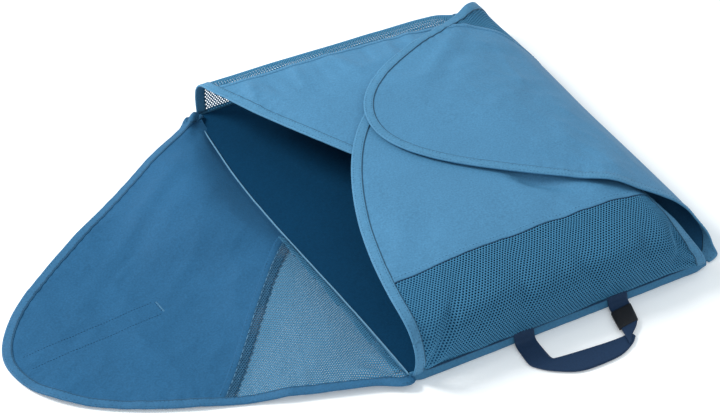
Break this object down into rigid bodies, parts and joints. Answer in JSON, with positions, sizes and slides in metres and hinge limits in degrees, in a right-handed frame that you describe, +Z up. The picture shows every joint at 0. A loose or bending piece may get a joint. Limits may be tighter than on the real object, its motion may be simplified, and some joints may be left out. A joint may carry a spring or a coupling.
{
  "type": "packing folder",
  "caption": "Flat packing folder for folded clothes: base with four wrapping flaps of fabric and net, hook and loop closure, and a webbing handle; one side flap lies open.",
  "frame": {"origin": "centre of the base's underside, where the folder rests", "axes": "+Z up, +Y towards the back edge, away from the webbing handle, and +X to the right, away from the open flap"},
  "size_m": [0.5989, 0.4751, 0.0698],
  "materials": {
    "outer_fabric": "fine plain-weave nylon, soft sheen",
    "inner_fabric": "coated inside of the nylon, smooth and darker",
    "lining_fabric": "dark coated nylon",
    "net": "navy knitted net with small oval holes",
    "binding_tape": "folded binding tape with two rows of stitches",
    "piping": "thin piping, lighter blue",
    "webbing": "navy ribbed webbing",
    "label": "plain black woven label",
    "closure_tape": "navy hook and loop tape",
    "board": "polypropylene sheet"
  },
  "bodies": {
    "base": {"back_base_binding": "binding_tape", "base_board": "board", "base_lining": "lining_fabric", "bottom_panel": "outer_fabric", "front_base_binding": "binding_tape", "handle_anchor_left": "webbing", "handle_anchor_right": "webbing", "left_base_piping": "piping", "right_base_piping": "piping"},
    "left_wall": {"left_wall_binding_far": "binding_tape", "left_wall_binding_near": "binding_tape", "left_wall_mesh": "net", "left_wall_panel": "inner_fabric"},
    "left_cover": {"left_flap_binding": "binding_tape", "left_flap_mesh": "net", "left_flap_panel": "inner_fabric", "left_loop_tape": "closure_tape"},
    "right_wall": {"right_wall_binding_far": "binding_tape", "right_wall_binding_near": "binding_tape", "right_wall_mesh": "net", "right_wall_panel": "outer_fabric"},
    "right_cover": {"right_flap_binding": "binding_tape", "right_flap_mesh": "net", "right_flap_panel": "outer_fabric", "right_hook_tape": "closure_tape"},
    "front_wall": {"front_wall_binding_far": "binding_tape", "front_wall_binding_near": "binding_tape", "front_wall_mesh": "net"},
    "front_cover": {"front_flap_binding": "binding_tape", "front_flap_mesh": "net", "front_flap_panel": "outer_fabric"},
    "back_wall": {"back_wall_binding_far": "binding_tape", "back_wall_binding_near": "binding_tape", "back_wall_mesh": "net"},
    "back_cover": {"back_flap_binding": "binding_tape", "back_flap_mesh": "net", "back_flap_panel": "outer_fabric"},
    "handle": {"handle_label": "label", "handle_webbing": "webbing"}
  },
  "joints": [
    {"name": "left_wall_fold", "type": "hinge", "parent": "base", "child": "left_wall", "pos_m": [-0.1529, 0, 0.006], "axis": [0, 1, 0], "range_deg": [0, 90]},
    {"name": "left_cover_fold", "type": "hinge", "parent": "left_wall", "child": "left_cover", "pos_m": [-0.2189, 0, 0.0057], "axis": [0, 1, 0], "range_deg": [0, 90]},
    {"name": "right_wall_fold", "type": "hinge", "parent": "base", "child": "right_wall", "pos_m": [0.1529, 0, 0.006], "axis": [0, 1, 0], "range_deg": [0, 90]},
    {"name": "right_cover_fold", "type": "hinge", "parent": "right_wall", "child": "right_cover", "pos_m": [0.1532, 0, 0.068], "axis": [0, 1, 0], "range_deg": [0, 90]},
    {"name": "front_wall_fold", "type": "hinge", "parent": "base", "child": "front_wall", "pos_m": [0, -0.2054, 0.006], "axis": [1, 0, 0], "range_deg": [0, 90]},
    {"name": "front_cover_fold", "type": "hinge", "parent": "front_wall", "child": "front_cover", "pos_m": [0, -0.2057, 0.0645], "axis": [1, 0, 0], "range_deg": [0, 90], "deforming": ["front_flap_binding", "front_flap_mesh", "front_flap_panel"]},
    {"name": "back_wall_fold", "type": "hinge", "parent": "base", "child": "back_wall", "pos_m": [0, 0.2054, 0.006], "axis": [-1, 0, 0], "range_deg": [0, 90]},
    {"name": "back_cover_fold", "type": "hinge", "parent": "back_wall", "child": "back_cover", "pos_m": [0, 0.2057, 0.061], "axis": [-1, 0, 0], "range_deg": [0, 90], "deforming": ["back_flap_binding", "back_flap_mesh", "back_flap_panel"]},
    {"name": "handle_swing", "type": "hinge", "parent": "base", "child": "handle", "pos_m": [0, -0.209, 0.0015], "axis": [1, 0, 0], "range_deg": [-80, 0]}
  ],
  "couplings": [
    {"joint": "front_cover_fold", "follows": "front_wall_fold", "ratio": 1},
    {"joint": "back_cover_fold", "follows": "back_wall_fold", "ratio": 1}
  ]
}
